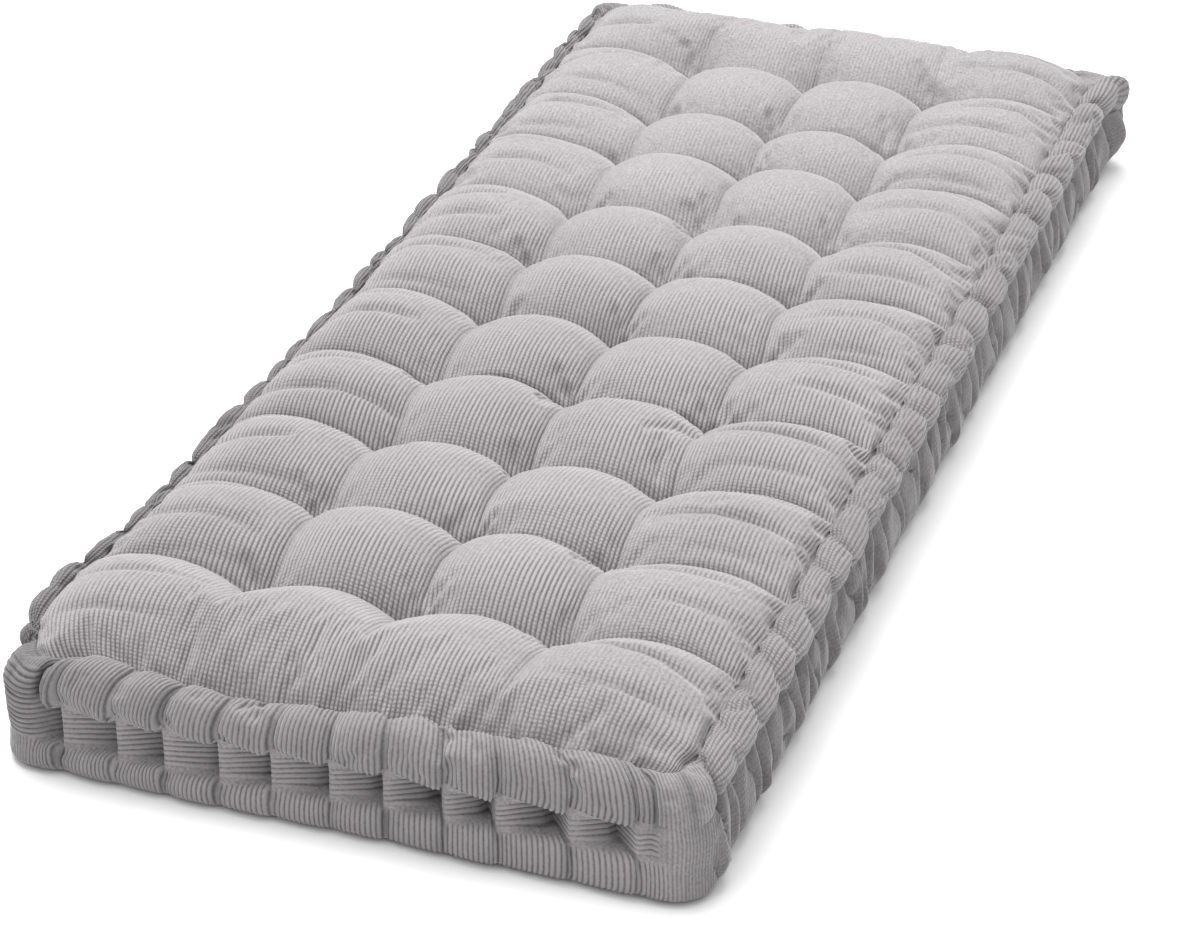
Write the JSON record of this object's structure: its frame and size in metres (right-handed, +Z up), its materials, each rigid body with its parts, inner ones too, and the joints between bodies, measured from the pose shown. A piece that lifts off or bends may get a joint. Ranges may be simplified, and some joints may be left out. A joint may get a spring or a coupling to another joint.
{
  "type": "bench cushion",
  "caption": "Long flat bench cushion in ribbed chenille, tufted into puffed pillows, with a stitched rolled edge, a gathered side band and a flat underside.",
  "frame": {"origin": "centre of the cushion's box, on the underside it rests on", "axes": "+Y along the cushion, +X across it, +Z up from the underside to the tufted top; the end at -Y is the near end of the picture"},
  "size_m": [0.4821, 1.202, 0.1061],
  "materials": {
    "chenille": "ribbed matte pile, light warm grey"
  },
  "bodies": {
    "root": {"cushion": "chenille"}
  },
  "joints": []
}
